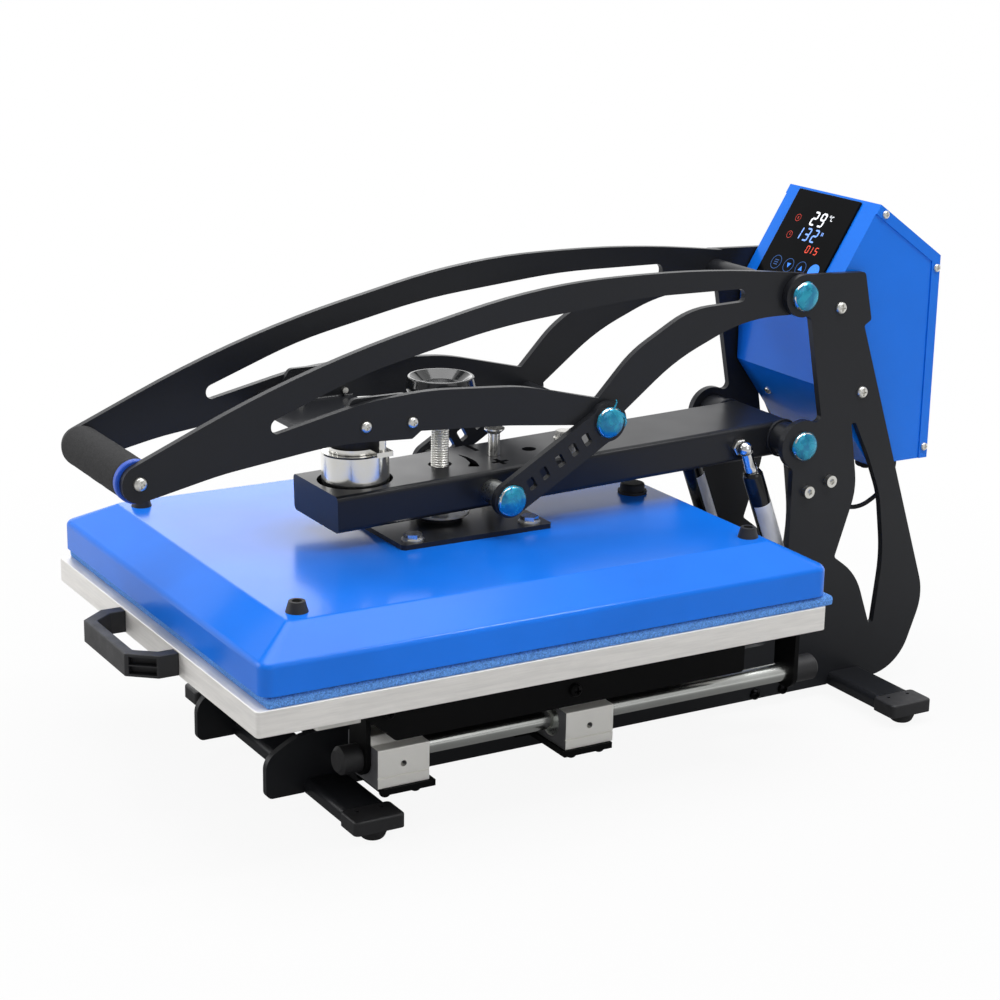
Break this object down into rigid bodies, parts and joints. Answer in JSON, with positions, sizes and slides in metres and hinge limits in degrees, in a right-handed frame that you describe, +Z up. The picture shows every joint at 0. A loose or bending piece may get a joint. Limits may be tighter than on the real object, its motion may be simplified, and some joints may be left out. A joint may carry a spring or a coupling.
{
  "type": "automatic heat press",
  "caption": "Clamshell heat press with a toggle lever, a blue heated platen over a drawer platen, gas springs, a holding magnet and a control box with a display.",
  "frame": {"origin": "on the floor under the middle of the closed press", "axes": "+Z up, -Y to the front where the grip and drawer pull are, +Y to the rear with the control box, +X to the right side seen from the front"},
  "size_m": [0.4, 0.762, 0.4335],
  "materials": {
    "black_coat": "satin powder coat",
    "blue_coat": "satin powder coat",
    "bright_steel": "brushed",
    "zinc_steel": "zinc plated",
    "chrome_bright": "polished",
    "teal_caps": "polished, tinted",
    "cast_aluminium": "machined",
    "black_rubber": "matte",
    "black_plastic": "matte",
    "gloss_black": "polished",
    "blue_plastic": "satin",
    "blue_sponge": "open-cell sponge",
    "board": "matte",
    "brass_pins": "plated"
  },
  "bodies": {
    "base": {"side_plate_right": "black_coat", "side_plate_left": "black_coat", "foot_bars": "black_coat", "foot_caps": "black_plastic", "rubber_feet": "black_rubber", "base_pan": "black_coat", "stop_plates": "black_coat", "bearing_shelves": "black_coat", "bearing_blocks": "cast_aluminium", "linear_bushes": "bright_steel", "frame_screws": "zinc_steel", "pivot_pins": "bright_steel", "pivot_caps": "teal_caps", "control_box_body": "blue_coat", "control_box_cover": "blue_coat", "display_panel": "gloss_black", "control_electronics": "board", "power_inlet": "black_plastic", "inlet_pins": "brass_pins", "rocker_bezel": "black_plastic", "cable_gland": "black_rubber", "sensor_lead": "black_rubber"},
    "rocker": {"power_rocker": "gloss_black"},
    "drawer": {"drawer_frame": "black_coat", "guide_rods": "chrome_bright", "rod_collars": "black_plastic", "drawer_screws": "black_coat", "platen_straps": "zinc_steel", "lower_platen": "cast_aluminium", "sponge_pad": "blue_sponge", "drawer_handle": "black_plastic"},
    "beam": {"beam_tube": "black_coat", "link_pin": "bright_steel", "link_pin_caps": "teal_caps", "spindle_nut": "bright_steel", "electromagnet": "chrome_bright", "beam_studs": "zinc_steel"},
    "upper_platen": {"platen_cover": "blue_coat", "heating_platen": "cast_aluminium", "heating_element": "bright_steel", "insulation_board": "board", "cover_caps": "black_plastic", "mount_flange": "black_coat", "flange_bolts": "zinc_steel", "rubber_buffer": "black_rubber"},
    "spindle_and_wheel": {"spindle": "zinc_steel", "handwheel": "gloss_black"},
    "lever": {"lever_plate_right": "black_coat", "lever_plate_left": "black_coat", "lever_cross_bars": "black_coat", "grip_foam": "black_rubber", "grip_ring": "blue_plastic", "lever_screws": "zinc_steel", "armature_bracket": "black_coat", "armature_plate": "chrome_bright", "armature_bush": "black_rubber"},
    "links": {"toggle_links": "black_coat", "toggle_caps": "teal_caps"},
    "gas_rods": {"gas_rods": "chrome_bright"},
    "gas_cylinders": {"gas_cylinders": "gloss_black"}
  },
  "joints": [
    {"name": "drawer_slide", "type": "slide", "parent": "base", "child": "drawer", "axis": [0, -1, 0], "range_m": [0, 0.185]},
    {"name": "lever_lift", "type": "hinge", "parent": "base", "child": "lever", "pos_m": [0, 0.22505, 0.3631], "axis": [-1, 0, 0], "range_deg": [0, 50]},
    {"name": "beam_tilt", "type": "hinge", "parent": "base", "child": "beam", "pos_m": [0, 0.23265, 0.233], "axis": [-1, 0, 0], "range_deg": [0, 29.66]},
    {"name": "link_turn", "type": "hinge", "parent": "beam", "child": "links", "pos_m": [0, -0.05565, 0.2227], "axis": [-1, 0, 0], "range_deg": [-54.45, 0]},
    {"name": "gas_rod_turn", "type": "hinge", "parent": "base", "child": "gas_rods", "pos_m": [0, 0.24645, 0.075], "axis": [-1, 0, 0], "range_deg": [0, 3.89]},
    {"name": "gas_cylinder_slide", "type": "slide", "parent": "gas_rods", "child": "gas_cylinders", "axis": [0, -0.3574, 0.934], "range_m": [0, 0.02015]},
    {"name": "spindle_turn", "type": "hinge", "parent": "upper_platen", "child": "spindle_and_wheel", "pos_m": [0, -0.08155, 0.25], "axis": [0, 0, 1], "range_deg": [0, 1081]},
    {"name": "platen_slide", "type": "slide", "parent": "beam", "child": "upper_platen", "axis": [0, 0, 1], "range_m": [0, 0.006]},
    {"name": "power_switch", "type": "hinge", "parent": "base", "child": "rocker", "pos_m": [0, 0.37205, 0.292], "axis": [-1, 0, 0], "range_deg": [0, 20]}
  ],
  "couplings": [
    {"joint": "beam_tilt", "follows": "lever_lift", "ratio": 0.59222},
    {"joint": "link_turn", "follows": "lever_lift", "ratio": -1.0869},
    {"joint": "gas_rod_turn", "follows": "lever_lift", "ratio": 0.077468},
    {"joint": "gas_cylinder_slide", "follows": "lever_lift", "m_per_rad": 0.023067},
    {"joint": "spindle_turn", "follows": "platen_slide", "rad_per_m": 3141.6}
  ]
}
